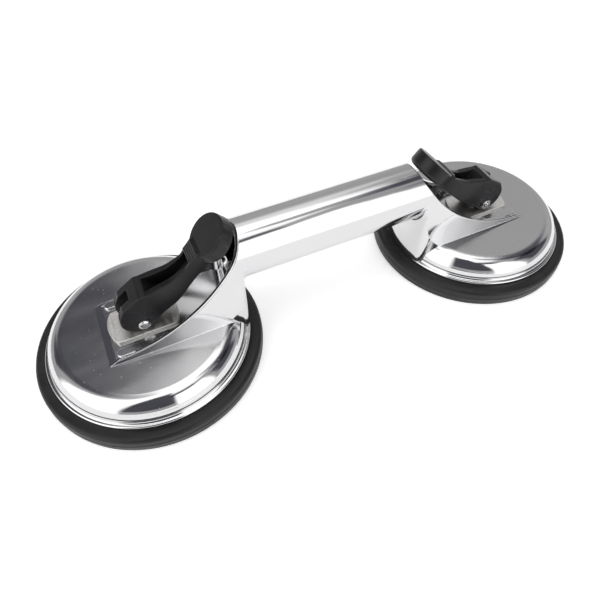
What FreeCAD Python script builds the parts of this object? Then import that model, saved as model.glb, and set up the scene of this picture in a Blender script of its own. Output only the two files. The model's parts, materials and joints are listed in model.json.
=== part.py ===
"""Two-cup suction lifter for floor tiles: a one-piece cast handle with two cam-operated suction cups.

Frame: millimetres, +Z up. The origin is on the surface that the pads rest on, midway between the
cups, and +X runs along the handle. Each cup's set of pieces is modelled for the cup at +X, with x
measured outward from the cup's own axis, and is placed by a half turn about Z for the other cup.
"""
import FreeCAD, Part
import math
import os

from FreeCAD import Placement, Rotation, Vector

# ---- driving dimensions: the cups and the handle -------------------------------------------------
CUP_SPACING = 208.0          # between the two cup axes
PAD_RADIUS = 60.0            # rubber disc
PAD_SEAT_Z = 8.8             # where the casting's rim bears on the rubber
DISH_RISE = 1.2              # hollow under the pad inside its sealing lip
LIP_WIDTH = 9.0              # sealing lip, measured in from the pad's edge

RIM_RADIUS = 53.6            # outer edge of the casting's stepped rim
RIM_TOP_Z = 12.2
SHOULDER_RADIUS = 51.2       # foot of the rounded shoulder
SHOULDER_ROUND = 9.6         # radius of the shoulder
DOME_TOP_Z = 23.0            # flat top of the cup
WALL = 3.6                   # dome wall thickness

HANDLE_RADIUS = 15.3
HANDLE_Z = 54.25             # axis of the handle above the surface
NECK_BASE_HALF = 19.7        # half width of the neck where it leaves the flat top
NECK_WALL = 2.2              # side walls of the neck and wall of the handle
NECK_WAIST_X = -36.0         # where the neck starts to narrow towards the handle
NECK_INNER_HALF = 17.8       # half width of the neck at its handle end
NECK_CORNER = 5.0            # rounding of the neck's upright corners
NECK_FILLET = 3.0            # rounding under the handle where it meets the neck
FILLET_BITE = 0.09           # the rolled ball is this much larger, so the rounding ends at clean edges
FILLET_SWING = math.radians(85)  # how far round the handle's underside that rounding runs, each way
FILLET_STEPS = 24

SCOOP_RADIUS = 84.0          # the open scoop's edge is one large arc
SCOOP_AXIS_X = 20.0
PLATFORM_Z = 25.05           # lowest level of the scoop's edge
PLATFORM_END_X = 17.2
PLATFORM_FOOT_X = 21.7       # foot of the bevel at the outer end
POCKET_FLOOR_Z = 24.6        # machined floor inside the scoop
POCKET_END_X = -46.5         # upright wall that closes the pocket under the bore
GUIDE_BAR = (-14.0, 16.9, 13.2, 18.4, 25.9)  # x from, x to, y from, y to, top of the cast guide bars
GUIDE_BAR_ROUND = 0.6
EDGE_OUTSIDE = 0.6           # rounding of the scoop's edge, outside and inside
EDGE_INSIDE = 0.4

# ---- driving dimensions: the lifting gear --------------------------------------------------------
SLIDE_PLATE_TOP_Z = 26.3
SLIDE_PLATE_HALF_WIDTH = 10.2
SLIDE_PLATE_RADIUS = 18.0
STEM_RADIUS = 4.7
STEM_HOLE_RADIUS = 5.1
STEM_HALF_TONGUE = 3.0       # half the thickness of the stem's flatted tongue
INSERT_RADIUS = 30.0
INSERT_Z = (3.4, 6.0)        # bottom and top of the steel disc inside the rubber
INSERT_HOLE_RADIUS = 2.5
MOULD_GAP = 0.05             # between the steel insert and the rubber round it
STEM_FOOT_RADIUS = 7.0       # riveted foot under the insert
STEM_FOOT_Z = (2.3, 7.2)     # from under the foot to the top of the shoulder
TONGUE_FOOT_Z = 16.5         # where the stem's flats start

PIN_RADIUS = 2.0
PIN_HEAD_RADIUS = 3.05
PIN_HEAD_HEIGHT = 1.2
RUNNING_GAP = 0.05           # radial clearance of the lever on its pin
SIDE_GAP = 0.2               # between the tongue and each ear
EAR_THICKNESS = 4.2
WASHER_THICKNESS = 0.5
WASHER_RADIUS = 3.0
RING_THICKNESS = 0.6

# The cam rises in proportion to the lever's turn, so its working face is the involute of a circle.
CAM_LOW = 4.4                # pin axis to the cam's seat, pad released
CAM_HIGH = 12.4              # the same, pad drawn up
CAM_TURN = math.radians(118)
CAM_GAP = 0.1                # oil film between the cam and the slide plate
CAM_RATE = (CAM_HIGH - CAM_LOW) / CAM_TURN
CAM_STEPS = 8

# The lever's arm: s runs from the pin along the arm, n stands off the arm towards its thumb side.
ARM_ANGLE = math.radians(137.5)
THUMB_CENTRE_S = 55.1
THUMB_RADIUS = 11.5
THUMB_BACK_N = -7.1
THUMB_FACE_N = 1.3
THUMB_EDGE_ROUND = 1.0       # round the face
THUMB_BACK_ROUND = 2.4
ARM_WAIST_S = 34.0           # narrowest place of the arm
ARM_WAIST_HALF = 5.6
ARM_END_HALF = 7.2           # half width of the arm inside the thumb pad
ARM_ROOT_S = 16.0            # where the ears' flat sides end
LEVER_EDGE = 0.6             # rounding of the lever's outer edges
MOUTH_EDGE = 0.4             # rounding round the channel
RIDGE_COUNT = 5
RIDGE_PITCH = 1.3
RIDGE_START_S = 41.4
RIDGE_N = 1.7                # axis of the ridges, off the arm
RIDGE_RADIUS = 0.55
CHANNEL_FLOOR_N = -3.4

SHARP_ANGLE = math.radians(45)   # faces that meet at more than this make an edge worth rounding

PIN_Z = SLIDE_PLATE_TOP_Z + CAM_GAP + CAM_LOW
EAR_INNER = STEM_HALF_TONGUE + SIDE_GAP
EAR_OUTER = EAR_INNER + EAR_THICKNESS
WASHER_OUTER = EAR_OUTER + SIDE_GAP + WASHER_THICKNESS


# ---- small builders ------------------------------------------------------------------------------
def rounded_path(points):
    """Edges through points (x, z, radius) in the XZ plane, each inner corner rounded to its radius."""
    edges = []
    here = Vector(points[0][0], 0, points[0][1])
    for index in range(1, len(points) - 1):
        corner = Vector(points[index][0], 0, points[index][1])
        after = Vector(points[index + 1][0], 0, points[index + 1][1])
        radius = points[index][2]
        back = (Vector(points[index - 1][0], 0, points[index - 1][1]) - corner).normalize()
        ahead = (after - corner).normalize()
        if radius > 0:
            half = back.getAngle(ahead) / 2
            inset = radius / math.tan(half)
            start = corner + back * inset
            end = corner + ahead * inset
            middle = corner + (back + ahead).normalize() * (radius / math.sin(half) - radius)
            edges.append(Part.LineSegment(here, start).toShape())
            edges.append(Part.Arc(start, middle, end).toShape())
            here = end
        else:
            edges.append(Part.LineSegment(here, corner).toShape())
            here = corner
    edges.append(Part.LineSegment(here, Vector(points[-1][0], 0, points[-1][1])).toShape())
    return edges


def closed_face(points):
    """A face in the XZ plane from corners (x, z, radius). The first corner is left sharp."""
    return Part.Face(Part.Wire(rounded_path(points + [points[0]])))


def turned(points):
    """A solid turned about Z from a half section given as (radius, z, corner radius)."""
    return closed_face(points).revolve(Vector(0, 0, 0), Vector(0, 0, 1), 360)


def across(face, half_width):
    """A face in the XZ plane carried across the middle plane to both sides."""
    solid = face.extrude(Vector(0, 2 * half_width, 0))
    solid.translate(Vector(0, -half_width, 0))
    return solid


def rod_y(radius, y_from, y_to, x=0.0, z=0.0):
    """A cylinder along Y."""
    return Part.makeCylinder(radius, y_to - y_from, Vector(x, y_from, z), Vector(0, 1, 0))


def block(x_from, x_to, y_from, y_to, z_from, z_to):
    """A box from its limits."""
    return Part.makeBox(x_to - x_from, y_to - y_from, z_to - z_from, Vector(x_from, y_from, z_from))


def rounded(shape, radius, wanted):
    """The shape with its sharp edges rounded, where wanted holds for the middle of the edge."""
    edges = []
    for edge in shape.Edges:
        middle = edge.valueAt((edge.FirstParameter + edge.LastParameter) / 2)
        normals = [face.normalAt(*face.Surface.parameter(middle))
                   for face in shape.ancestorsOfType(edge, Part.Face)]
        if len(normals) == 2 and normals[0].getAngle(normals[1]) > SHARP_ANGLE and wanted(middle):
            edges.append(edge)
    return shape.makeFillet(radius, edges)


def tidy(shape):
    """The shape with split faces joined, checked to be sound."""
    clean = shape.removeSplitter()
    if not clean.isValid():
        raise ValueError("a piece is not a valid solid")
    return clean


# ---- the casting ---------------------------------------------------------------------------------
def arch_section(x, base_half, base_z, floor_z, radius):
    """Neck section at x: a round top on drafted sides that lean in from base_half at base_z."""
    reach = math.hypot(base_half, HANDLE_Z - base_z)
    lean = math.atan2(base_z - HANDLE_Z, base_half) + math.acos(radius / reach)
    side_y = radius * math.cos(lean)
    side_z = HANDLE_Z + radius * math.sin(lean)
    slope = (base_half - side_y) / (side_z - base_z)
    foot_y = base_half + slope * (base_z - floor_z)
    left_foot = Vector(x, -foot_y, floor_z)
    left_top = Vector(x, -side_y, side_z)
    right_top = Vector(x, side_y, side_z)
    right_foot = Vector(x, foot_y, floor_z)
    crown = Vector(x, 0, HANDLE_Z + radius)
    edges = [
        Part.LineSegment(left_foot, left_top).toShape(),
        Part.Arc(left_top, crown, right_top).toShape(),
        Part.LineSegment(right_top, right_foot).toShape(),
        Part.LineSegment(right_foot, left_foot).toShape(),
    ]
    return Part.Face(Part.Wire(edges))


def neck_plan(end_radius, corner):
    """Upright prism of the neck's plan: parallel sides, a narrowing and an end on a circle round the cup."""
    inner_x = -math.sqrt(end_radius ** 2 - NECK_INNER_HALF ** 2)
    rise = NECK_BASE_HALF - NECK_INNER_HALF
    run = NECK_WAIST_X - inner_x
    waist_radius = (run ** 2 + rise ** 2) / (2 * rise)
    half_way = math.asin(run / waist_radius) / 2
    start = Vector(NECK_WAIST_X, NECK_BASE_HALF, 0)
    middle = Vector(NECK_WAIST_X - waist_radius * math.sin(half_way),
                    NECK_BASE_HALF - waist_radius * (1 - math.cos(half_way)), 0)
    end = Vector(inner_x, NECK_INNER_HALF, 0)

    def mirrored(point):
        return Vector(point.x, -point.y, point.z)

    wide = 30.0
    edges = [
        Part.LineSegment(Vector(wide, -wide, 0), Vector(wide, wide, 0)).toShape(),
        Part.LineSegment(Vector(wide, wide, 0), Vector(NECK_WAIST_X, wide, 0)).toShape(),
        Part.LineSegment(Vector(NECK_WAIST_X, wide, 0), start).toShape(),
        Part.Arc(start, middle, end).toShape(),
        Part.Arc(end, Vector(-end_radius, 0, 0), mirrored(end)).toShape(),
        Part.Arc(mirrored(end), mirrored(middle), mirrored(start)).toShape(),
        Part.LineSegment(mirrored(start), Vector(NECK_WAIST_X, -wide, 0)).toShape(),
        Part.LineSegment(Vector(NECK_WAIST_X, -wide, 0), Vector(wide, -wide, 0)).toShape(),
    ]
    plan = Part.Face(Part.Wire(edges))
    prism = plan.extrude(Vector(0, 0, 90))
    corners = [edge for edge in prism.Edges
               if abs(edge.Length - 90) < 1e-6 and abs(edge.Vertexes[0].X - inner_x) < 1e-3]
    return prism.makeFillet(corner, corners)


def scoop_cutter():
    """Everything above the scoop's edge: the end bevel, the large arc and the open air beyond."""
    axis_z = PLATFORM_Z + SCOOP_RADIUS
    open_z = HANDLE_Z + HANDLE_RADIUS + 5
    open_x = PLATFORM_FOOT_X + 20

    def at_height(z):
        return Vector(SCOOP_AXIS_X - math.sqrt(SCOOP_RADIUS ** 2 - (axis_z - z) ** 2), 0, z)

    reach = SCOOP_AXIS_X - PLATFORM_END_X
    begin = Vector(PLATFORM_END_X, 0, axis_z - math.sqrt(SCOOP_RADIUS ** 2 - reach ** 2))
    end = at_height(open_z)
    corners = [end, Vector(open_x, 0, open_z), Vector(open_x, 0, DOME_TOP_Z),
               Vector(PLATFORM_FOOT_X, 0, DOME_TOP_Z), begin]
    edges = [Part.Arc(begin, at_height(HANDLE_Z - HANDLE_RADIUS), end).toShape()]
    for first, second in zip(corners, corners[1:]):
        edges.append(Part.LineSegment(first, second).toShape())
    return across(Part.Face(Part.Wire(edges)), 40)


def underside_fillet():
    """Rounding under the handle: the corner with the neck, less the path of a ball rolled along it."""
    from_cup = RIM_RADIUS + NECK_FILLET
    from_handle = HANDLE_RADIUS + NECK_FILLET
    reach = Part.makeCylinder(from_handle, 20, Vector(-from_cup - 5, 0, HANDLE_Z), Vector(1, 0, 0))
    under = block(-from_cup, 10 - from_cup, -30, 30, HANDLE_Z - from_handle, HANDLE_Z)
    corner = neck_arch().common(neck_plan(from_cup, NECK_CORNER + NECK_FILLET)).common(reach).common(under)
    centres = []
    for step in range(FILLET_STEPS + 1):
        angle = FILLET_SWING * (2 * step / FILLET_STEPS - 1)
        y = from_handle * math.sin(angle)
        z = HANDLE_Z - from_handle * math.cos(angle)
        centres.append(Vector(-math.sqrt(from_cup ** 2 - y ** 2), y, z))
    route = Part.BSplineCurve()
    route.interpolate(centres)
    start = route.tangent(route.FirstParameter)[0]
    ring = Part.Wire([Part.Circle(centres[0], start, NECK_FILLET + FILLET_BITE).toShape()])
    rolled = Part.Wire([route.toShape()]).makePipeShell([ring], True, True)
    return corner.cut(rolled)


def cup_dome():
    """Outer form of one cup: flat top, rounded shoulder and stepped rim."""
    return turned([(0, PAD_SEAT_Z, 0), (0, DOME_TOP_Z, 0), (SHOULDER_RADIUS, DOME_TOP_Z, SHOULDER_ROUND),
                   (SHOULDER_RADIUS, RIM_TOP_Z, 0.8), (RIM_RADIUS, RIM_TOP_Z, 0.8),
                   (RIM_RADIUS, PAD_SEAT_Z, 0)])


def neck_arch():
    """The neck's arched section carried past the handle's end of the cup."""
    section = arch_section(PLATFORM_FOOT_X, NECK_BASE_HALF, DOME_TOP_Z, PAD_SEAT_Z + 1, HANDLE_RADIUS)
    return section.extrude(Vector(-PLATFORM_FOOT_X - RIM_RADIUS - NECK_FILLET - 1, 0, 0))


def on_scoop_edge(point):
    """Whether a point of the casting lies on the scoop's large arc."""
    across_x = abs(point.x) - CUP_SPACING / 2 - SCOOP_AXIS_X
    return abs(math.hypot(across_x, point.z - PLATFORM_Z - SCOOP_RADIUS) - SCOOP_RADIUS) < 0.01


def on_side_wall_edge(point):
    """Whether a point lies on the scoop's arc where it runs down the neck's side walls."""
    return on_scoop_edge(point) and point.z < HANDLE_Z - HANDLE_RADIUS


def cup_hollows():
    """What is taken out of one cup: the dome's inside, the pocket, the stem's hole."""
    dome_inside = turned([(0, PAD_SEAT_Z - 1, 0), (0, DOME_TOP_Z - WALL, 0),
                          (SHOULDER_RADIUS - WALL, DOME_TOP_Z - WALL, SHOULDER_ROUND - 2),
                          (SHOULDER_RADIUS - WALL, PAD_SEAT_Z - 1, 0)])
    start = PLATFORM_FOOT_X + 4
    section = arch_section(start, NECK_BASE_HALF - NECK_WALL, DOME_TOP_Z, POCKET_FLOOR_Z,
                           HANDLE_RADIUS - NECK_WALL)
    pocket = section.extrude(Vector(POCKET_END_X - start, 0, 0))
    end_corners = [edge for edge in pocket.Edges
                   if all(abs(v.X - POCKET_END_X) < 1e-6 for v in edge.Vertexes)
                   and edge.BoundBox.ZLength > 20 and isinstance(edge.Curve, Part.Line)]
    pocket = pocket.makeFillet(4, end_corners)
    hole = Part.makeCylinder(STEM_HOLE_RADIUS, DOME_TOP_Z, Vector(0, 0, PAD_SEAT_Z))
    return [dome_inside, pocket, hole]


def guide_bars():
    """Two low cast bars with round outer ends, beside the slide plate on the pocket's floor."""
    x_from, x_to, y_from, y_to, top = GUIDE_BAR
    round_end = (y_to - y_from) / 2
    bar = block(x_from, x_to - round_end, y_from, y_to, POCKET_FLOOR_Z - 1, top)
    end = Part.makeCylinder(round_end, top - POCKET_FLOOR_Z + 1,
                            Vector(x_to - round_end, (y_from + y_to) / 2, POCKET_FLOOR_Z - 1))
    bar = rounded(bar.fuse(end).removeSplitter(), GUIDE_BAR_ROUND, lambda point: point.z > top - 0.01)
    other = bar.mirror(Vector(0, 0, 0), Vector(0, 1, 0))
    return [bar, other]


def at_cup(shape, side):
    """A copy of a cup's piece moved to its cup: side +1 as modelled, side -1 by a half turn about Z."""
    moved = shape.copy()
    turn = 0 if side > 0 else 180
    moved.Placement = Placement(Vector(side * CUP_SPACING / 2, 0, 0),
                                Rotation(Vector(0, 0, 1), turn)).multiply(moved.Placement)
    return moved


def make_casting():
    """Handle, necks and domed cups as one hollow casting."""
    sides = (1, -1)
    handle_half = CUP_SPACING / 2 + POCKET_END_X
    axis = Vector(1, 0, 0)
    handle = Part.makeCylinder(HANDLE_RADIUS, 2 * handle_half, Vector(-handle_half, 0, HANDLE_Z), axis)
    neck = neck_arch().common(neck_plan(RIM_RADIUS, NECK_CORNER))
    body = handle.multiFuse([at_cup(neck, side) for side in sides]).removeSplitter()
    body = body.cut([at_cup(scoop_cutter(), side) for side in sides])
    body = rounded(body, EDGE_OUTSIDE, on_scoop_edge)
    for side in sides:
        body = body.fuse(at_cup(underside_fillet(), side))
    body = body.multiFuse([at_cup(cup_dome(), side) for side in sides])
    hollows = [Part.makeCylinder(HANDLE_RADIUS - NECK_WALL, 2 * handle_half + 2,
                                 Vector(-handle_half - 1, 0, HANDLE_Z), axis)]
    for side in sides:
        hollows += [at_cup(hollow, side) for hollow in cup_hollows()]
    body = rounded(body.cut(hollows), EDGE_INSIDE, on_side_wall_edge)
    return tidy(body.multiFuse([at_cup(bar, side) for bar in guide_bars() for side in sides]))


# ---- the rubber pad and the steel inside it -------------------------------------------------------
def insert_holes(radius):
    """Upright rods on a circle where the rubber keys through the steel disc."""
    rods = []
    for index in range(6):
        angle = math.radians(60 * index + 30)
        foot = Vector(20 * math.cos(angle), 20 * math.sin(angle), 0)
        rods.append(Part.makeCylinder(radius, PAD_SEAT_Z, foot))
    return rods


def make_suction_pad():
    """Rubber disc with a sealing lip, a dished face and a raised hub, hollow where its insert sits."""
    lip_inner = PAD_RADIUS - LIP_WIDTH
    body = turned([(0, DISH_RISE, 0), (lip_inner - 2, DISH_RISE, 1.5), (lip_inner, 0, 0.8),
                   (PAD_RADIUS, 0, 1.4), (PAD_RADIUS, PAD_SEAT_Z, 2.2), (44, PAD_SEAT_Z, 0.8),
                   (42.5, PAD_SEAT_Z - 1.4, 0.8), (18, PAD_SEAT_Z - 1.4, 1.0), (16, PAD_SEAT_Z + 0.8, 1.0),
                   (0, PAD_SEAT_Z + 0.8, 0)])
    plate = Part.makeCylinder(INSERT_RADIUS + MOULD_GAP, INSERT_Z[1] - INSERT_Z[0] + 2 * MOULD_GAP,
                              Vector(0, 0, INSERT_Z[0] - MOULD_GAP))
    plate = plate.cut(insert_holes(INSERT_HOLE_RADIUS - MOULD_GAP))
    foot = Part.makeCylinder(STEM_FOOT_RADIUS + MOULD_GAP, STEM_FOOT_Z[1] - STEM_FOOT_Z[0] + 2 * MOULD_GAP,
                             Vector(0, 0, STEM_FOOT_Z[0] - MOULD_GAP))
    shank = Part.makeCylinder(STEM_RADIUS + MOULD_GAP, PAD_SEAT_Z, Vector(0, 0, INSERT_Z[1]))
    return tidy(body.cut([plate.fuse(foot).fuse(shank)]))


def make_insert_plate():
    """Perforated steel disc that the rubber is moulded round."""
    disc = Part.makeCylinder(INSERT_RADIUS, INSERT_Z[1] - INSERT_Z[0], Vector(0, 0, INSERT_Z[0]))
    seat = Part.makeCylinder(STEM_RADIUS, PAD_SEAT_Z)
    return tidy(disc.cut(insert_holes(INSERT_HOLE_RADIUS) + [seat]))


def make_pull_stem():
    """Round stem riveted to the insert, flatted to a tongue that carries the cross pin."""
    top_z = PIN_Z + STEM_RADIUS
    shank = Part.makeCylinder(STEM_RADIUS, top_z - STEM_FOOT_Z[0], Vector(0, 0, STEM_FOOT_Z[0]))
    flats = [block(-10, 10, side * 10 - 7, side * 10 + 7, TONGUE_FOOT_Z, top_z) for side in (1, -1)]
    shank = shank.cut(flats)
    dome = rod_y(STEM_RADIUS, -10, 10, z=PIN_Z).fuse(block(-10, 10, -10, 10, 0, PIN_Z))
    shoulder = Part.makeCylinder(STEM_FOOT_RADIUS - 1, 1.2, Vector(0, 0, INSERT_Z[1]))
    foot = Part.makeCylinder(STEM_FOOT_RADIUS, INSERT_Z[0] - STEM_FOOT_Z[0], Vector(0, 0, STEM_FOOT_Z[0]))
    hole = rod_y(PIN_RADIUS, -10, 10, z=PIN_Z)
    return tidy(shank.common(dome).multiFuse([shoulder, foot]).cut(hole))


# ---- slide plate, pin and its washers -------------------------------------------------------------
def make_slide_plate():
    """Wear plate with round ends that the cams turn on."""
    thickness = SLIDE_PLATE_TOP_Z - POCKET_FLOOR_Z
    disc = Part.makeCylinder(SLIDE_PLATE_RADIUS, thickness, Vector(0, 0, POCKET_FLOOR_Z))
    band = block(-20, 20, -SLIDE_PLATE_HALF_WIDTH, SLIDE_PLATE_HALF_WIDTH, POCKET_FLOOR_Z, SLIDE_PLATE_TOP_Z)
    plate = disc.common(band)
    upright = [edge for edge in plate.Edges if abs(edge.Length - thickness) < 1e-6]
    plate = plate.makeFillet(1.5, upright)
    rim = [edge for edge in plate.Edges if all(abs(v.Z - SLIDE_PLATE_TOP_Z) < 1e-6 for v in edge.Vertexes)]
    plate = plate.makeFillet(0.4, rim)
    return tidy(plate.cut(Part.makeCylinder(STEM_HOLE_RADIUS, 40)))


def along_pin(shape, y_from, towards):
    """A piece turned about Z from z = 0 up, laid along the pin axis from y_from towards +Y or -Y."""
    laid = shape.copy()
    laid.Placement = Placement(Vector(0, y_from, PIN_Z), Rotation(Vector(0, 0, 1), Vector(0, towards, 0)))
    return laid


def make_pivot_pin():
    """Steel pin with a domed head on the +Y side and a chamfered end."""
    length = 2 * WASHER_OUTER + RING_THICKNESS + 1.2
    pin = turned([(0, 0, 0), (0, length + PIN_HEAD_HEIGHT, 0),
                  (PIN_HEAD_RADIUS * 0.62, length + PIN_HEAD_HEIGHT, 1.5),
                  (PIN_HEAD_RADIUS, length + 0.5, 0.6), (PIN_HEAD_RADIUS, length, 0), (PIN_RADIUS, length, 0),
                  (PIN_RADIUS, 0.4, 0), (PIN_RADIUS - 0.4, 0, 0)])
    return tidy(along_pin(pin, WASHER_OUTER - length, 1))


def washer(y_from, towards):
    """Thin plain washer on the pin."""
    disc = Part.makeCylinder(WASHER_RADIUS, WASHER_THICKNESS)
    hole = Part.makeCylinder(PIN_RADIUS, WASHER_THICKNESS)
    return tidy(along_pin(disc.cut(hole), y_from, towards))


def make_head_washer():
    """Washer under the pin's head."""
    return washer(EAR_OUTER + SIDE_GAP, 1)


def make_ring_washer():
    """Washer under the retaining ring."""
    return washer(-EAR_OUTER - SIDE_GAP, -1)


def make_retaining_ring():
    """Push-on ring: a shallow cap whose six teeth bite the pin."""
    cap = turned([(0, 0, 0), (PIN_HEAD_RADIUS, 0, 0), (PIN_HEAD_RADIUS, RING_THICKNESS, 0.3),
                  (PIN_RADIUS, RING_THICKNESS + 0.4, 0), (0, RING_THICKNESS + 0.4, 0)])
    cuts = [Part.makeCylinder(PIN_RADIUS, 3)]
    for index in range(6):
        slot = block(PIN_RADIUS - 0.5, PIN_RADIUS + 0.8, -0.35, 0.35, -1, 3)
        slot.rotate(Vector(0, 0, 0), Vector(0, 0, 1), 60 * index + 30)
        cuts.append(slot)
    return tidy(along_pin(cap.cut(cuts), -WASHER_OUTER, -1))


# ---- the cam lever -------------------------------------------------------------------------------
def arm_point(s, n, radius=0.0):
    """A corner (x, z, rounding) about the pin from a place along the arm and a height off it."""
    x = s * math.cos(ARM_ANGLE) + n * math.sin(ARM_ANGLE)
    z = s * math.sin(ARM_ANGLE) - n * math.cos(ARM_ANGLE)
    return (x, z, radius)


def cam_point(turn, slip=0.0):
    """Where the cam touches the plate when the lever has turned, with slip further along the plate."""
    height = CAM_LOW + CAM_RATE * turn
    reach = CAM_RATE + slip
    x = height * math.sin(turn) + reach * math.cos(turn)
    z = reach * math.sin(turn) - height * math.cos(turn)
    return (x, z, 0.0)


def lever_side():
    """Side of the lever about the pin: involute cam, locking flat, ear, arm, grip, back and seat."""
    working = [cam_point(CAM_TURN * step / CAM_STEPS) for step in range(CAM_STEPS + 1)]
    curve = Part.BSplineCurve()
    curve.interpolate([Vector(x, 0, z) for x, z, _ in working])
    flat_end = cam_point(CAM_TURN, 4.0)
    seat_end = (-2.3, -CAM_LOW, 1.0)
    rest = [working[-1], (flat_end[0], flat_end[1], 1.6), arm_point(14.5, 12.4, 1.2),
            arm_point(16.3, 10.6, 1.6), arm_point(27.7, 3.4, 14), arm_point(37.5, 0.8, 8),
            arm_point(42.0, 1.9, 2),
            arm_point(47.0, 2.1, 1.2), arm_point(49.0, THUMB_FACE_N - 0.1, 1.0),
            arm_point(THUMB_CENTRE_S, THUMB_FACE_N - 0.1), arm_point(THUMB_CENTRE_S, THUMB_BACK_N + 0.3),
            arm_point(40, -7.6, 30), arm_point(20, -7.4, 30), arm_point(9.7, -5.1, 20), seat_end, working[0]]
    return Part.Face(Part.Wire([curve.toShape()] + rounded_path(rest)))


def in_arm_frame(shape):
    """A piece modelled with X along the arm and Z off it, laid at the pin and turned to the arm."""
    along = Vector(math.cos(ARM_ANGLE), 0, math.sin(ARM_ANGLE))
    off = Vector(math.sin(ARM_ANGLE), 0, -math.cos(ARM_ANGLE))
    moved = shape.copy()
    to_arm = Placement(Vector(0, 0, PIN_Z), Rotation(along, Vector(0, -1, 0), off, "XYZ"))
    moved.Placement = to_arm.multiply(moved.Placement)
    return moved


def arm_plan():
    """Upright prism in the arm's frame: flat-sided ears that run smoothly into a waisted arm."""
    low, start_s, end_s = -16, -15, THUMB_CENTRE_S + 1
    edges = []
    for side in (1, -1):
        start = Vector(start_s, side * EAR_OUTER, low)
        root = Vector(ARM_ROOT_S, side * EAR_OUTER, low)
        waist = Vector(ARM_WAIST_S, side * ARM_WAIST_HALF, low)
        end = Vector(end_s, side * ARM_END_HALF, low)
        curve = Part.BSplineCurve()
        curve.interpolate(Points=[root, waist, end], InitialTangent=Vector(1, 0, 0),
                          FinalTangent=Vector(1, side * 0.12, 0))
        edges += [Part.LineSegment(start, root).toShape(), curve.toShape()]
    for s, half in ((start_s, EAR_OUTER), (end_s, ARM_END_HALF)):
        edges.append(Part.LineSegment(Vector(s, -half, low), Vector(s, half, low)).toShape())
    return Part.Face(Part.Wire(Part.__sortEdges__(edges))).extrude(Vector(0, 0, 40))


def arm_place(point):
    """How far a point lies along the arm from the pin, and off it."""
    x, z = point.x, point.z - PIN_Z
    s = x * math.cos(ARM_ANGLE) + z * math.sin(ARM_ANGLE)
    n = x * math.sin(ARM_ANGLE) - z * math.cos(ARM_ANGLE)
    return (s, n)


def on_channel_mouth(point):
    """Whether a point of the lever lies on the upper edge of the channel."""
    s, n = arm_place(point)
    return abs(point.y) < 4.6 and 16.5 < s < RIDGE_START_S and n > 0.5


def arm_channel():
    """The channel along the arm's thumb side, waisted like the arm, from the ears to the ridges."""
    start_s, start_half, waist_half = 16.7, 4.4, 3.2
    end_s, end_half = RIDGE_START_S - 0.9, 4.0
    edges = []
    for side in (1, -1):
        edges.append(Part.Arc(Vector(start_s, side * start_half, CHANNEL_FLOOR_N),
                              Vector((start_s + end_s) / 2, side * waist_half, CHANNEL_FLOOR_N),
                              Vector(end_s, side * end_half, CHANNEL_FLOOR_N)).toShape())
    for s, half in ((start_s, start_half), (end_s, end_half)):
        edges.append(Part.LineSegment(Vector(s, -half, CHANNEL_FLOOR_N),
                                      Vector(s, half, CHANNEL_FLOOR_N)).toShape())
    return Part.Face(Part.Wire(Part.__sortEdges__(edges))).extrude(Vector(0, 0, 40))


def stem_slot():
    """Space between the ears that the stem's tongue sweeps, open below and outward."""
    clear = STEM_RADIUS + 0.6
    top = arm_point(9, 3)
    points = [(-clear, -20, 0), (-clear, 1.5, 2), (top[0], top[1], 2),
              arm_point(9, 25), (40, 20, 0), (40, -20, 0)]
    slot = across(closed_face(points), EAR_INNER)
    slot.translate(Vector(0, 0, PIN_Z))
    return slot


def thumb_pad():
    """Round thumb pad with a rolled rim."""
    disc = turned([(0, THUMB_BACK_N, 0), (0, THUMB_FACE_N, 0), (THUMB_RADIUS, THUMB_FACE_N, THUMB_EDGE_ROUND),
                   (THUMB_RADIUS, THUMB_BACK_N, THUMB_BACK_ROUND)])
    disc.translate(Vector(THUMB_CENTRE_S, 0, 0))
    return in_arm_frame(disc)


def grip_ridges():
    """Fine half-round ridges across the heel of the thumb pad."""
    places = [RIDGE_START_S + index * RIDGE_PITCH for index in range(RIDGE_COUNT)]
    return [in_arm_frame(rod_y(RIDGE_RADIUS, -5.0, 5.0, x=s, z=RIDGE_N)) for s in places]


def make_cam_lever():
    """Moulded lever: two cam ears, channelled arm, grip and thumb pad."""
    side = across(lever_side(), EAR_OUTER + 2)
    side.translate(Vector(0, 0, PIN_Z))
    body = rounded(side.common(in_arm_frame(arm_plan())).removeSplitter(), LEVER_EDGE,
                   lambda point: abs(point.y) > ARM_WAIST_HALF - 0.1)
    body = body.cut([stem_slot(), in_arm_frame(arm_channel())]).removeSplitter()
    body = rounded(body, MOUTH_EDGE, on_channel_mouth)
    hole = rod_y(PIN_RADIUS + RUNNING_GAP, -20, 20, z=PIN_Z)
    return tidy(body.multiFuse([thumb_pad()] + grip_ridges()).cut(hole))


# ---- the whole tool ------------------------------------------------------------------------------
CUP_PIECES = {
    "suction_pad": make_suction_pad,
    "pad_insert_plate": make_insert_plate,
    "pull_stem": make_pull_stem,
    "slide_plate": make_slide_plate,
    "cam_lever": make_cam_lever,
    "pivot_pin": make_pivot_pin,
    "pin_head_washer": make_head_washer,
    "pin_ring_washer": make_ring_washer,
    "pin_retaining_ring": make_retaining_ring,
}


def main():
    """Build every piece and write one STEP file for each."""
    os.makedirs("parts", exist_ok=True)
    make_casting().exportStep("parts/body_casting.step")
    for name, make in CUP_PIECES.items():
        piece = make()
        at_cup(piece, -1).exportStep(f"parts/{name}_left.step")
        at_cup(piece, 1).exportStep(f"parts/{name}_right.step")


main()
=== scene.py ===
"""Looks of a two-cup suction lifter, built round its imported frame."""

from __future__ import annotations

import json
import logging
import math
from dataclasses import dataclass, field
from enum import Enum

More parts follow.
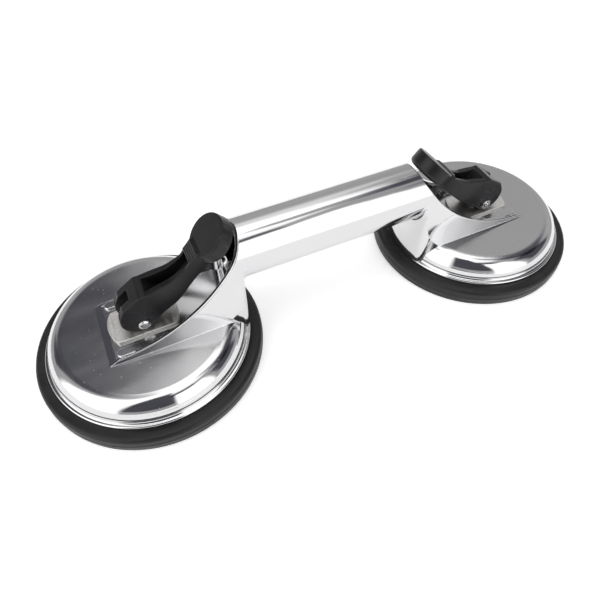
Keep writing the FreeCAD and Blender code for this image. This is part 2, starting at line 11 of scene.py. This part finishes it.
import bmesh
import bpy
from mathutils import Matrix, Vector

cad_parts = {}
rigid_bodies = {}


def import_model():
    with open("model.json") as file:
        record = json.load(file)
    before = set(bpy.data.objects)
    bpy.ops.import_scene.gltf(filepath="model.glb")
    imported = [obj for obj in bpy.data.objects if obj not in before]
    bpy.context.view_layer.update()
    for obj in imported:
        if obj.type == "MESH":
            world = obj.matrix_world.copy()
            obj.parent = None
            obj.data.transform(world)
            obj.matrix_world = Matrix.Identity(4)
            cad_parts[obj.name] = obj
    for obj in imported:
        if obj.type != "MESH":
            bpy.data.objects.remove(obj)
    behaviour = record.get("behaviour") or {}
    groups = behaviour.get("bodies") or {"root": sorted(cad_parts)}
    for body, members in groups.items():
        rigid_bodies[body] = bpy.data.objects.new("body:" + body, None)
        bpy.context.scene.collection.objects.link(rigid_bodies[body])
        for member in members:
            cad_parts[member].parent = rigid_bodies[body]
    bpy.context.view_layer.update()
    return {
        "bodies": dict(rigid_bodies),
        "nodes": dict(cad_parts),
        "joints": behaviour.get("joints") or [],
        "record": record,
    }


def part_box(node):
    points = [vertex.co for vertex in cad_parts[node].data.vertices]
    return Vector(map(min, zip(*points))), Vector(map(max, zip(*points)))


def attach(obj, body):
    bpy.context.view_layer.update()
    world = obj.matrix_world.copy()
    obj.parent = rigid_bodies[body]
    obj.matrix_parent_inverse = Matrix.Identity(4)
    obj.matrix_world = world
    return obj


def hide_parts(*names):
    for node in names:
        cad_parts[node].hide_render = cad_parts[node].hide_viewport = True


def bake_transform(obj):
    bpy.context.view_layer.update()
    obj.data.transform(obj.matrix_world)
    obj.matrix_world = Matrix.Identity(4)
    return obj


LOG = logging.getLogger("suction_lifter")
MM = 0.001


class Side(Enum):
    """The two ends of the lifter, with the sign of X on which each lies."""

    LEFT = -1
    RIGHT = 1

    @property
    def label(self) -> str:
        """Ending of the names of the nodes on this side."""
        return self.name.lower()


# ---- finishes ------------------------------------------------------------------------------------


class NodeBench:
    """A node tree with short calls for adding and joining nodes."""

    def __init__(self, tree: bpy.types.NodeTree, place: str) -> None:
        """Empties the tree and takes the place on the surface, or the direction, that its patterns follow.

        Args:
            tree: The node tree to fill.
            place: Name of the texture coordinate.
        """
        self.tree = tree
        self.tree.nodes.clear()
        self.place = self.node("TexCoord").outputs[place]

    def node(self, kind: str, values: dict[str | int, object] | None = None,
             **settings: object) -> bpy.types.Node:
        """Adds one node.

        Args:
            kind: Type name of the node, without "ShaderNode".
            values: Socket name or number to a constant or to another node's output.
            settings: Properties of the node itself.

        Returns:
            The new node.
        """
        made = self.tree.nodes.new("ShaderNode" + kind)
        for key, value in settings.items():
            setattr(made, key, value)
        for key, value in (values or {}).items():
            self.feed(made.inputs[key], value)
        return made

    def feed(self, socket: bpy.types.NodeSocket, value: object) -> None:
        """Sets a socket to a constant, or joins another node's output to it.

        Args:
            socket: The input to feed.
            value: A constant or an output socket.
        """
        if isinstance(value, bpy.types.NodeSocket):
            self.tree.links.new(value, socket)
        else:
            socket.default_value = value

    def math(self, operation: str, *values: object) -> bpy.types.NodeSocket:
        """Result of one Math node on constants and outputs."""
        return self.node("Math", dict(enumerate(values)), operation=operation).outputs[0]

    def span(self, value: object, low: float, high: float, to_low: float,
             to_high: float) -> bpy.types.NodeSocket:
        """A value carried from one range to another, clamped at both ends.

        Args:
            value: The output to carry over.
            low: Start of its range.
            high: End of its range.
            to_low: Result at the start.
            to_high: Result at the end.

        Returns:
            The output socket of the result.
        """
        sockets = {"Value": value, "From Min": low, "From Max": high, "To Min": to_low, "To Max": to_high}
        return self.node("MapRange", sockets, interpolation_type="SMOOTHSTEP").outputs["Result"]

    def stretched(self, scale: tuple[float, float, float]) -> bpy.types.NodeSocket:
        """The place on the surface, scaled along each axis."""
        return self.node("Mapping", {"Vector": self.place, "Scale": scale}).outputs["Vector"]

    def noise(self, scale: float, detail: float = 2.0, place: object = None,
              rough: float = 0.5) -> bpy.types.NodeSocket:
        """A noise field.

        Args:
            scale: Waves per metre.
            detail: Octaves.
            place: Coordinates other than the plain place on the surface.
            rough: Strength of the finer octaves.

        Returns:
            The output socket with values round one half.
        """
        sockets = {"Vector": place or self.place, "Scale": scale, "Detail": detail, "Roughness": rough}
        return self.node("TexNoise", sockets).outputs["Fac"]

    def mix(self, share: object, first: object, second: object) -> bpy.types.NodeSocket:
        """Two colours mixed by a share.

        Args:
            share: How much of the second colour shows, from 0 to 1.
            first: A colour or an output.
            second: A colour or an output.

        Returns:
            The output socket with the mixed colour.
        """
        made = self.node("Mix", data_type="RGBA")
        for socket, value in zip((made.inputs[0], made.inputs[6], made.inputs[7]), (share, first, second)):
            self.feed(socket, value)
        return made.outputs[2]

    def bump(self, height: object, depth: float, strength: float = 1.0,
             below: object = None) -> bpy.types.NodeSocket:
        """A bump of the surface.

        Args:
            height: Field of heights from 0 to 1.
            depth: Real height of the bump, in metres.
            strength: How much of it shows.
            below: Normal of a bump that this one lies on.

        Returns:
            The output socket with the bumped normal.
        """
        made = self.node("Bump", {"Strength": strength, "Distance": depth, "Height": height})
        if below is not None:
            self.feed(made.inputs["Normal"], below)
        return made.outputs["Normal"]


class Finish(NodeBench):
    """A material's node tree with one Principled shader as its surface."""

    def __init__(self, name: str) -> None:
        """Starts the material.

        Args:
            name: Name of the material.
        """
        self.material = bpy.data.materials.new(name)
        self.material.use_nodes = True
        super().__init__(self.material.node_tree, "Object")
        self.shader = self.node("BsdfPrincipled")
        output = self.node("OutputMaterial")
        self.feed(output.inputs["Surface"], self.shader.outputs["BSDF"])

    def softened(self, radius: float) -> bpy.types.NodeSocket:
        """Normal with the edges and corners rounded over a radius, in metres."""
        return self.node("Bevel", {"Radius": radius}, samples=6).outputs["Normal"]

    def finish(self, **sockets: object) -> bpy.types.Material:
        """Feeds the shader and returns the material.

        Args:
            sockets: Socket names in lower case with underscores, and their values.

        Returns:
            The finished material.
        """
        for key, value in sockets.items():
            name = {"specular_level": "Specular IOR Level"}.get(key, key.replace("_", " ").title())
            self.feed(self.shader.inputs[name], value)
        return self.material


def grey(value: float, red: float = 0.0, blue: float = 0.0) -> tuple[float, float, float, float]:
    """A grey with a share more red or blue in it."""
    return (value * (1 + red), value, value * (1 + blue), 1.0)


@dataclass(frozen=True)
class PolishedCasting:
    """Buffed die-cast aluminium: mirror sides, satin level faces, faint waviness, specks and wipe marks."""

    colour: float = 0.70
    smeared: float = 0.93
    mirror: float = 0.05
    mirror_spread: float = 0.05
    satin: float = 0.15
    satin_spread: float = 0.07
    level_from: float = 0.90
    level_to: float = 0.995
    waviness: float = 0.00016
    waves_per_metre: float = 42.0
    smears_per_metre: float = 55.0
    smear_stretch: tuple[float, float, float] = (0.35, 1.0, 1.0)
    streaks_per_metre: float = 900.0
    streak_stretch: tuple[float, float, float] = (0.06, 1.0, 1.0)
    streak_depth: float = 0.000008
    specks_per_metre: float = 420.0
    speck_reach: tuple[float, float] = (0.05, 0.11)
    speck_choice: tuple[float, float] = (0.60, 0.66)
    speck_dulling: float = 0.40
    edge_round: float = 0.0005
    name: str = "polished_casting"

    def specks(self, bench: Finish) -> bpy.types.NodeSocket:
        """Tiny scattered pits and dust.

        Args:
            bench: The material's nodes.

        Returns:
            The output socket, 1 on a speck and 0 off it.
        """
        cells = bench.node("TexVoronoi", {"Vector": bench.place, "Scale": self.specks_per_metre})
        shade = bench.node("SeparateColor", {0: cells.outputs["Color"]}).outputs[0]
        spot = bench.span(cells.outputs["Distance"], *self.speck_reach, 1.0, 0.0)
        return bench.math("MULTIPLY", spot, bench.span(shade, *self.speck_choice, 0.0, 1.0))

    def gloss(self, bench: Finish, smears: object) -> bpy.types.NodeSocket:
        """Roughness: mirror on the sides, satin on level faces, duller on specks.

        Args:
            bench: The material's nodes.
            smears: Field of wipe marks.

        Returns:
            The output socket with the roughness.
        """
        normal = bench.node("NewGeometry").outputs["Normal"]
        upward = bench.node("SeparateXYZ", {0: normal}).outputs["Z"]
        level = bench.span(upward, self.level_from, self.level_to, 0.0, 1.0)
        sides = bench.span(smears, 0.35, 0.70, self.mirror, self.mirror + self.mirror_spread)
        tops = bench.span(smears, 0.30, 0.75, self.satin, self.satin + self.satin_spread)
        rough = bench.node("Mix", {0: level, 2: sides, 3: tops}).outputs[0]
        return bench.math("ADD", rough, bench.math("MULTIPLY", self.specks(bench), self.speck_dulling))

    def material(self) -> bpy.types.Material:
        """Builds the material.

        Returns:
            The finished material.
        """
        bench = Finish(self.name)
        smears = bench.noise(self.smears_per_metre, 4.0, bench.stretched(self.smear_stretch))
        streaks = bench.noise(self.streaks_per_metre, 2.0, bench.stretched(self.streak_stretch))
        rounded = bench.softened(self.edge_round) if self.edge_round else None
        waves = bench.bump(bench.noise(self.waves_per_metre, 1.0), self.waviness, 1.0, rounded)
        lines = bench.bump(streaks, self.streak_depth, 0.5, waves)
        clean, wiped = grey(self.colour, 0.0, 0.004), grey(self.colour * self.smeared, 0.0, 0.012)
        return bench.finish(base_color=bench.mix(smears, clean, wiped), metallic=1.0,
                            roughness=self.gloss(bench, smears), normal=lines)


@dataclass(frozen=True)
class MouldedNylon:
    """Black glass-filled nylon with a fine sparked grain, rubbed a little shinier on its edges."""

    colour: float = 0.0075
    clouded: float = 1.7
    rubbed: float = 0.03
    rubbed_from: float = 0.52
    rubbed_to: float = 0.60
    roughness: float = 0.36
    rubbed_gloss: float = 0.12
    specular: float = 0.34
    clouds_per_metre: float = 120.0
    grains_per_metre: float = 2600.0
    grain_depth: float = 0.00005
    edge_round: float = 0.0004

    def material(self) -> bpy.types.Material:
        """Builds the material.

        Returns:
            The finished material.
        """
        bench = Finish("moulded_nylon")
        grain = bench.noise(self.grains_per_metre, 3.0)
        cloud = bench.noise(self.clouds_per_metre, 3.0)
        pointed = bench.node("NewGeometry").outputs["Pointiness"]
        edge = bench.span(pointed, self.rubbed_from, self.rubbed_to, 0.0, 1.0)
        tone = bench.mix(cloud, grey(self.colour, 0.03, 0.12), grey(self.colour * self.clouded, 0.03, 0.12))
        tone = bench.mix(edge, tone, grey(self.rubbed, 0.0, 0.08))
        gloss = bench.span(cloud, 0.3, 0.7, self.roughness - 0.05, self.roughness + 0.06)
        gloss = bench.math("SUBTRACT", gloss, bench.math("MULTIPLY", edge, self.rubbed_gloss))
        normal = bench.bump(grain, self.grain_depth, 0.35, bench.softened(self.edge_round))
        return bench.finish(base_color=tone, roughness=gloss, specular_level=self.specular, normal=normal)


@dataclass(frozen=True)
class PadRubber:
    """Moulded natural rubber, near black with a faint brown bloom and a soft sheen."""

    colour: float = 0.012
    bloom: float = 0.022
    roughness: float = 0.42
    bloomed_roughness: float = 0.58
    specular: float = 0.36
    blooms_per_metre: float = 45.0
    skin_per_metre: float = 1500.0
    skin_depth: float = 0.00003

    def material(self) -> bpy.types.Material:
        """Builds the material.

        Returns:
            The finished material.
        """
        bench = Finish("pad_rubber")
        bloom = bench.span(bench.noise(self.blooms_per_metre, 5.0, rough=0.6), 0.42, 0.72, 0.0, 1.0)
        tone = bench.mix(bloom, grey(self.colour, 0.05, 0.08), grey(self.bloom, 0.08, 0.02))
        gloss = bench.span(bloom, 0.0, 1.0, self.roughness, self.bloomed_roughness)
        normal = bench.bump(bench.noise(self.skin_per_metre, 2.0), self.skin_depth, 0.4)
        return bench.finish(base_color=tone, roughness=gloss, specular_level=self.specular, normal=normal)


@dataclass(frozen=True)
class PlainSteel:
    """A steel part: its tone, warmth, gloss, and the way its grinding lines run."""

    name: str
    colour: float
    warmth: float = 0.0
    roughness: float = 0.26
    lines: tuple[float, float, float] = (1.0, 1.0, 1.0)
    speckle: float = 0.0
    clouded: float = 0.85
    spotted: float = 0.35
    lines_per_metre: float = 700.0
    clouds_per_metre: float = 160.0
    spots_per_metre: float = 1400.0
    line_depth: float = 0.00002

    def material(self) -> bpy.types.Material:
        """Builds the material.

        Returns:
            The finished material.
        """
        bench = Finish(self.name)
        lines = bench.noise(self.lines_per_metre, 3.0, bench.stretched(self.lines))
        cloud = bench.noise(self.clouds_per_metre, 4.0)
        spots = bench.span(bench.noise(self.spots_per_metre, 2.0), 0.56, 0.66, 0.0, self.speckle)
        warm = self.warmth
        clean, clouded = (grey(self.colour * share, warm, -2 * warm) for share in (1.0, self.clouded))
        spotted = grey(self.colour * self.spotted, warm, -warm)
        tone = bench.mix(spots, bench.mix(cloud, clean, clouded), spotted)
        gloss = bench.span(lines, 0.3, 0.7, self.roughness - 0.06, self.roughness + 0.10)
        normal = bench.bump(lines, self.line_depth, 0.5)
        return bench.finish(base_color=tone, metallic=1.0, roughness=gloss, normal=normal)


@dataclass
class Finishes:
    """Every material of the lifter, made once."""

    casting: bpy.types.Material = field(default_factory=lambda: PolishedCasting().material())
    rim: bpy.types.Material = field(default_factory=lambda: PolishedCasting(
        streak_depth=0.0, waviness=0.00006, edge_round=0.0, name="polished_rim").material())
    nylon: bpy.types.Material = field(default_factory=lambda: MouldedNylon().material())
    rubber: bpy.types.Material = field(default_factory=lambda: PadRubber().material())
    slide: bpy.types.Material = field(default_factory=lambda: PlainSteel(
        "ground_slide_plate", 0.86, 0.02, 0.40, (1.0, 0.12, 1.0), 0.45).material())
    pin: bpy.types.Material = field(default_factory=lambda: PlainSteel(
        "plated_pin", 0.74, 0.0, 0.20).material())
    washer: bpy.types.Material = field(default_factory=lambda: PlainSteel(
        "plated_washer", 0.62, 0.01, 0.30).material())
    ring: bpy.types.Material = field(default_factory=lambda: PlainSteel(
        "spring_ring", 0.55, 0.0, 0.24).material())
    stem: bpy.types.Material = field(default_factory=lambda: PlainSteel(
        "turned_stem", 0.60, 0.0, 0.28, (1.0, 1.0, 4.0)).material())
    insert: bpy.types.Material = field(default_factory=lambda: PlainSteel(
        "pressed_insert", 0.48, 0.0, 0.34).material())


def dress(node: bpy.types.Object, material: bpy.types.Material) -> None:
    """Gives every slot of a frame node one material."""
    for slot in node.material_slots:
        slot.material = material


# ---- sub-assemblies ------------------------------------------------------------------------------


def arc(x: float, z: float, radius: float, start: float, end: float,
        steps: int = 6) -> list[tuple[float, float]]:
    """Points on a rounded corner of a profile.

    Args:
        x: Distance of the corner's centre from the turning axis.
        z: Height of the corner's centre.
        radius: Rounding.
        start: First direction, in degrees from outward towards up.
        end: Last direction.
        steps: Number of parts.

    Returns:
        Pairs of radius and height.
    """
    turns = [math.radians(start + (end - start) * step / steps) for step in range(steps + 1)]
    return [(x + radius * math.cos(turn), z + radius * math.sin(turn)) for turn in turns]


def as_piece(name: str, mesh: bmesh.types.BMesh, material: bpy.types.Material) -> bpy.types.Object:
    """Makes an object from a finished mesh, shaded smooth.

    Args:
        name: Name of the piece.
        mesh: The mesh, which is freed.
        material: Its finish.

    Returns:
        The new object, in the scene.
    """
    bmesh.ops.recalc_face_normals(mesh, faces=mesh.faces)
    for face in mesh.faces:
        face.smooth = True
    data = bpy.data.meshes.new(name)
    mesh.to_mesh(data)
    mesh.free()
    piece = bpy.data.objects.new(name, data)
    bpy.context.scene.collection.objects.link(piece)
    data.materials.append(material)
    return piece


@dataclass
class Casting:
    """The one-piece handle and cups with their machined rims, and the slide plates in its scoops."""

    frame: dict
    finishes: Finishes
    rim_radius: float = 53.6 * MM
    rim_top: float = 12.2 * MM
    shoulder_lift: float = 1.2 * MM
    shoulder_foot: float = 51.2 * MM
    shoulder_round: float = 9.6 * MM
    corner: float = 0.8 * MM
    hollow: float = 1.3 * MM
    skin: float = 0.05 * MM
    apron: float = 2.0 * MM
    apron_foot: float = 2.3 * MM
    inset: float = 0.6 * MM
    neck_half: float = 13.6 * MM
    turns: int = 260

    def rim_profile(self) -> list[tuple[float, float]]:
        """Closed outline of the machined step, from the shoulder's foot out over the rim and back inside.

        Returns:
            Pairs of radius and height.
        """
        skin, corner, hollow = self.skin, self.corner, self.hollow
        foot, out, top = self.shoulder_foot, self.rim_radius, self.rim_top
        bend = self.shoulder_round
        return [
            *arc(foot - bend, top + self.shoulder_lift, bend - 0.1 * MM, 26, 25, 1),
            *arc(foot - bend, top + self.shoulder_lift, bend + skin, 22, 2, 8),
            *arc(foot + skin + hollow, top + skin + hollow, hollow, 180, 270, 10),
            *arc(out - corner, top - corner, corner + skin, 90, 0, 8),
            (out + skin, top - self.apron), (out - 0.15 * MM, top - self.apron_foot),
            (out - 0.8 * MM, top - self.apron_foot),
            (foot - self.inset, top - 0.4 * MM), (foot - self.inset, top + 2.0 * MM),
        ]

    def rim(self, side: Side) -> bpy.types.Object:
        """Turns the machined step of one cup, open where the neck stands.

        Args:
            side: Which cup.

        Returns:
            The new piece.
        """
        low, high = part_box(f"suction_pad_{side.label}")
        centre = (low + high) / 2
        gap = math.asin(self.neck_half / self.rim_radius)
        mesh = bmesh.new()
        rows = []
        for step in range(self.turns + 1):
            turn = gap + (math.tau - 2 * gap) * step / self.turns
            rows.append([mesh.verts.new((centre.x - side.value * radius * math.cos(turn),
                                         centre.y + radius * math.sin(turn), height))
                         for radius, height in self.rim_profile()])
        for near, far in zip(rows, rows[1:]):
            for index in range(len(near)):
                after = (index + 1) % len(near)
                mesh.faces.new((near[index], near[after], far[after], far[index]))
        mesh.faces.new(rows[0])
        mesh.faces.new(rows[-1])
        return as_piece(f"machined_rim_{side.label}", mesh, self.finishes.rim)

    def build(self) -> None:
        """Dresses the casting and its slide plates, and adds the machined rims."""
        dress(self.frame["nodes"]["body_casting"], self.finishes.casting)
        for side in Side:
            dress(self.frame["nodes"][f"slide_plate_{side.label}"], self.finishes.slide)
            rim = self.rim(side)
            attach(rim, "casting")
        LOG.info("casting, rims and slide plates dressed")


@dataclass
class SuctionPad:
    """One rubber disc: a thick rim that stays under the cup, and a middle that its stem draws up."""

    side: Side
    finishes: Finishes
    rim_width: float = 13.5 * MM
    lip_width: float = 9.0 * MM
    dish: float = 1.0 * MM
    centre_dish: float = 2.0 * MM
    edge_round: float = 2.4 * MM
    foot_round: float = 0.8 * MM
    parting_z: float = 4.2 * MM
    parting_ridge: float = 0.22 * MM
    parting_half: float = 0.45 * MM
    parting_tip: float = 0.15 * MM
    flat_radius: float = 33.0 * MM
    boss_top: float = 7.6 * MM
    turns: int = 192

    def __post_init__(self) -> None:
        """Reads the pad's place and size from its node in the frame."""
        self.node = f"suction_pad_{self.side.label}"
        low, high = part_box(self.node)
        self.centre = (low + high) / 2
        self.radius = (high.x - low.x) / 2
        self.top = high.z
        self.inner = self.radius - self.rim_width

    def rim_profile(self) -> list[tuple[float, float]]:
        """Closed outline of the rim's cross-section, from the inner foot outward and back over the top.

        Returns:
            Pairs of radius and height.
        """
        outer, foot, top = self.radius, self.foot_round, self.edge_round
        lip = outer - self.lip_width
        ridge = self.parting_ridge
        return [
            (self.inner, self.dish), (self.inner + 1.2 * MM, self.dish), (lip - 1.0 * MM, self.dish),
            (lip - 0.2 * MM, 0.25 * MM), (lip + 0.6 * MM, 0.0), (outer - 3.0 * MM, 0.0),
            *arc(outer - ridge - foot, foot, foot, -90, 0),
            (outer - ridge, self.parting_z - self.parting_half),
            (outer - ridge * 0.4, self.parting_z - self.parting_tip),
            (outer, self.parting_z),
            (outer - ridge * 0.4, self.parting_z + self.parting_tip),
            (outer - ridge, self.parting_z + self.parting_half),
            *arc(outer - ridge - top, self.top - top, top, 0, 90),
            (self.inner + 4.0 * MM, self.top), (self.inner, 4.0 * MM),
        ]

    def middle_profile(self) -> list[tuple[float, float]]:
        """Open outline of the middle, from its axis below to its axis above.

        Returns:
            Pairs of radius and height.
        """
        edge = self.inner + 0.02 * MM
        return [
            (0.0, self.centre_dish), (self.flat_radius * 0.5, self.centre_dish),
            (self.flat_radius, self.centre_dish), (self.flat_radius + 4.0 * MM, self.centre_dish - 0.25 * MM),
            (edge - 2.5 * MM, self.dish + 0.12 * MM),
            (edge - 0.8 * MM, self.dish + 0.30 * MM), (edge, self.dish + 0.30 * MM),
            (edge, self.dish + 1.1 * MM), (edge - 3.0 * MM, self.dish + 1.8 * MM),
            (self.flat_radius + 3.0 * MM, self.boss_top - 2.2 * MM), (self.flat_radius, self.boss_top),
            (self.flat_radius * 0.5, self.boss_top), (0.0, self.boss_top),
        ]

    def lathe(self, name: str, profile: list[tuple[float, float]], closed: bool) -> bpy.types.Object:
        """Turns a profile round the pad's axis.

        Args:
            name: Name of the new piece.
            profile: Pairs of radius and height.
            closed: Whether the last point joins the first.

        Returns:
            The new mesh object.
        """
        mesh = bmesh.new()
        axis = Vector((self.centre.x, self.centre.y, 0.0))
        around = [math.tau * step / self.turns for step in range(self.turns)]
        rings: list[list[bmesh.types.BMVert]] = []
        for radius, height in profile:
            turns = around if radius > 0 else around[:1]
            spots = [Vector((radius * math.cos(turn), radius * math.sin(turn), height)) for turn in turns]
            rings.append([mesh.verts.new(axis + spot) for spot in spots])
        pairs = list(zip(rings, rings[1:] + rings[:1])) if closed else list(zip(rings, rings[1:]))
        for lower, upper in pairs:
            for turn in range(self.turns):
                near, far = turn, (turn + 1) % self.turns
                corners = [lower[near % len(lower)], lower[far % len(lower)],
                           upper[far % len(upper)], upper[near % len(upper)]]
                mesh.faces.new(list(dict.fromkeys(corners)))
        return as_piece(name, mesh, self.finishes.rubber)

    def build(self) -> None:
        """Makes the rim and the middle, and joins the rim to the frame."""
        rim = self.lathe(f"pad_rim_{self.side.label}", self.rim_profile(), True)
        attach(rim, "casting")
        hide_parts(self.node)
        middle = self.lathe(f"pad_middle_{self.side.label}", self.middle_profile(), False)
        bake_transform(middle)
        LOG.info("%s built as rim and middle", self.node)


@dataclass
class StemGroup:
    """One steel stem with its plate in the rubber, its pin, washers and retaining ring."""

    side: Side
    frame: dict
    finishes: Finishes

    def build(self) -> None:
        """Dresses the steel parts of one cup."""
        worn = {"pull_stem": self.finishes.stem, "pad_insert_plate": self.finishes.insert,
                "pivot_pin": self.finishes.pin, "pin_head_washer": self.finishes.washer,
                "pin_ring_washer": self.finishes.washer, "pin_retaining_ring": self.finishes.ring}
        for part, material in worn.items():
            dress(self.frame["nodes"][f"{part}_{self.side.label}"], material)
        LOG.info("stem group %s dressed", self.side.label)


@dataclass
class CamLever:
    """One nylon cam lever."""

    side: Side
    frame: dict
    finishes: Finishes

    def build(self) -> None:
        """Dresses the lever."""
        dress(self.frame["nodes"][f"cam_lever_{self.side.label}"], self.finishes.nylon)
        LOG.info("cam lever %s dressed", self.side.label)


# ---- studio --------------------------------------------------------------------------------------


@dataclass(frozen=True)
class RoomPanel:
    """One soft-edged part of the room as it is seen from the lifter.

    The bearing runs from the back (0) over the right (90). All angles are in degrees. The level is the light
    that a lit panel adds, or the share of the wall's light that a dark one takes away.
    """

    bearing: float
    height: float
    half_width: float
    half_height: float
    soft: float
    level: float

    def seen(self, bench: NodeBench, bearing: object, height: object) -> bpy.types.NodeSocket:
        """How much of a direction falls on the panel.

        Args:
            bench: The world's nodes.
            bearing: The direction's bearing.
            height: Its height over the horizon.

        Returns:
            The output socket, 1 on the panel and 0 off it.
        """
        turned = bench.math("WRAP", bench.math("SUBTRACT", bearing, self.bearing), 180.0, -180.0)
        lifted = bench.math("SUBTRACT", height, self.height)
        shares = []
        for offset, half in ((turned, self.half_width), (lifted, self.half_height)):
            far = bench.math("ABSOLUTE", offset)
            shares.append(bench.span(far, half - self.soft, half + self.soft, 1.0, 0.0))
        return bench.math("MULTIPLY", *shares)


@dataclass
class Studio:
    """White floor, a room with soft panels of light and dark openings, and the camera."""

    floor_radius: float = 3.0
    floor_drop: float = 0.2 * MM
    floor_tone: float = 0.86
    floor_glow: float = 0.50
    wall: float = 0.46
    wall_drift: float = 0.08
    drifts: float = 2.5
    shade_tint: tuple[float, float, float, float] = (0.92, 0.93, 1.08, 1.0)
    camera_place: tuple[float, float, float] = (-0.0924, -0.1657, 0.2335)
    aim: tuple[float, float, float] = (-0.0276, -0.0261, 0.030)
    lens: float = 29.67
    sensor: float = 36.0
    nearest: float = 0.01
    lit: tuple[RoomPanel, ...] = (
        RoomPanel(-100, 40, 28, 42, 5, 1.3),  # left wall
        RoomPanel(158, 25, 20, 31, 3, 1.3),  # low, right of the front
        RoomPanel(32, 80, 54, 19, 4, 1.3),  # overhead
        RoomPanel(-10, 90, 180, 12, 3, 1.0),  # ceiling
        RoomPanel(150, 76, 34, 10, 3, 1.0),  # front of the ceiling
        RoomPanel(24, 52, 20, 8, 6, 0.55),  # dimmer, under the overhead one
    )
    dark: tuple[RoomPanel, ...] = (
        RoomPanel(-155, 45, 25, 31, 3, 0.80),  # left of the front
        RoomPanel(166, 62, 18, 6, 3, 0.70),  # gap over the low light
        RoomPanel(-29, 49, 27, 16, 5, 0.84),  # left of the back
        RoomPanel(-47, 28, 10, 8, 3, 0.78),  # foot of the one at the back
        RoomPanel(92, 50, 22, 14, 6, 0.78),  # right, upper part
        RoomPanel(112, 33, 18, 17, 6, 0.80),  # right, lower part
    )

    def floor(self) -> None:
        """Lays the pale floor that the lifter stands on."""
        mesh = bmesh.new()
        bmesh.ops.create_circle(mesh, cap_ends=True, segments=96, radius=self.floor_radius)
        data = bpy.data.meshes.new("studio_floor")
        mesh.to_mesh(data)
        mesh.free()
        floor = bpy.data.objects.new("studio_floor", data)
        bpy.context.scene.collection.objects.link(floor)
        floor.location.z = -self.floor_drop
        material = bpy.data.materials.new("studio_floor")
        material.use_nodes = True
        bench = NodeBench(material.node_tree, "Object")
        lit = bench.node("BsdfDiffuse", {"Color": grey(self.floor_tone)})
        glow = bench.node("Emission", {"Color": grey(1.0), "Strength": self.floor_glow})
        rays = bench.node("LightPath").outputs
        seen = bench.math("MAXIMUM", rays["Is Camera Ray"], rays["Is Glossy Ray"])
        seen = bench.math("MAXIMUM", seen, rays["Is Transmission Ray"])
        added = bench.node("AddShader", {0: lit.outputs[0], 1: glow.outputs[0]})
        mixed = bench.node("MixShader", {0: seen, 1: lit.outputs[0], 2: added.outputs[0]})
        bench.feed(bench.node("OutputMaterial").inputs["Surface"], mixed.outputs[0])
        data.materials.append(material)

    def room(self) -> None:
        """Makes the room's light: plain walls with panels of light and dark openings in them."""
        world = bpy.data.worlds.new("studio_room")
        bpy.context.scene.world = world
        world.use_nodes = True
        bench = NodeBench(world.node_tree, "Generated")
        east, north, up = bench.node("SeparateXYZ", {0: bench.place}).outputs[:3]
        bearing = bench.math("MULTIPLY", bench.math("ARCTAN2", east, north), math.degrees(1.0))
        height = bench.math("MULTIPLY", bench.math("ARCSINE", up), math.degrees(1.0))
        drift = self.wall * self.wall_drift
        light = bench.span(bench.noise(self.drifts, 2.0), 0.3, 0.7, self.wall - drift, self.wall + drift)
        for panel in self.dark:
            share = bench.span(panel.seen(bench, bearing, height), 0.0, 1.0, 1.0, 1.0 - panel.level)
            light = bench.math("MULTIPLY", light, share)
        for panel in self.lit:
            glow = bench.math("MULTIPLY", panel.seen(bench, bearing, height), panel.level)
            light = bench.math("ADD", light, glow)
        tint = bench.mix(bench.span(light, 0.05, 0.5, 0.0, 1.0), self.shade_tint, grey(1.0))
        shade = bench.node("Background", {"Color": tint, "Strength": light})
        bench.feed(bench.node("OutputWorld").inputs["Surface"], shade.outputs[0])

    def camera(self) -> None:
        """Sets the camera over the near cup, looking down along the handle."""
        data = bpy.data.cameras.new("camera")
        data.lens = self.lens
        data.sensor_width = self.sensor
        data.clip_start = self.nearest
        camera = bpy.data.objects.new("camera", data)
        bpy.context.scene.collection.objects.link(camera)
        looking = Vector(self.aim) - Vector(self.camera_place)
        turn = looking.to_track_quat("-Z", "Y").to_matrix().to_4x4()
        turn.translation = Vector(self.camera_place)
        camera.matrix_world = turn
        bpy.context.scene.camera = camera

    def build(self) -> None:
        """Sets up floor, light and camera."""
        self.floor()
        self.room()
        self.camera()
        bpy.context.scene.view_settings.view_transform = "Standard"
        LOG.info("studio ready")


def main() -> None:
    """Builds the lifter's looks in order."""
    logging.basicConfig(level=logging.INFO)
    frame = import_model()
    Studio().build()
    finishes = Finishes()
    Casting(frame, finishes).build()
    for side in Side:
        SuctionPad(side, finishes).build()
        StemGroup(side, frame, finishes).build()
        CamLever(side, frame, finishes).build()


if __name__ == "__main__":
    main()
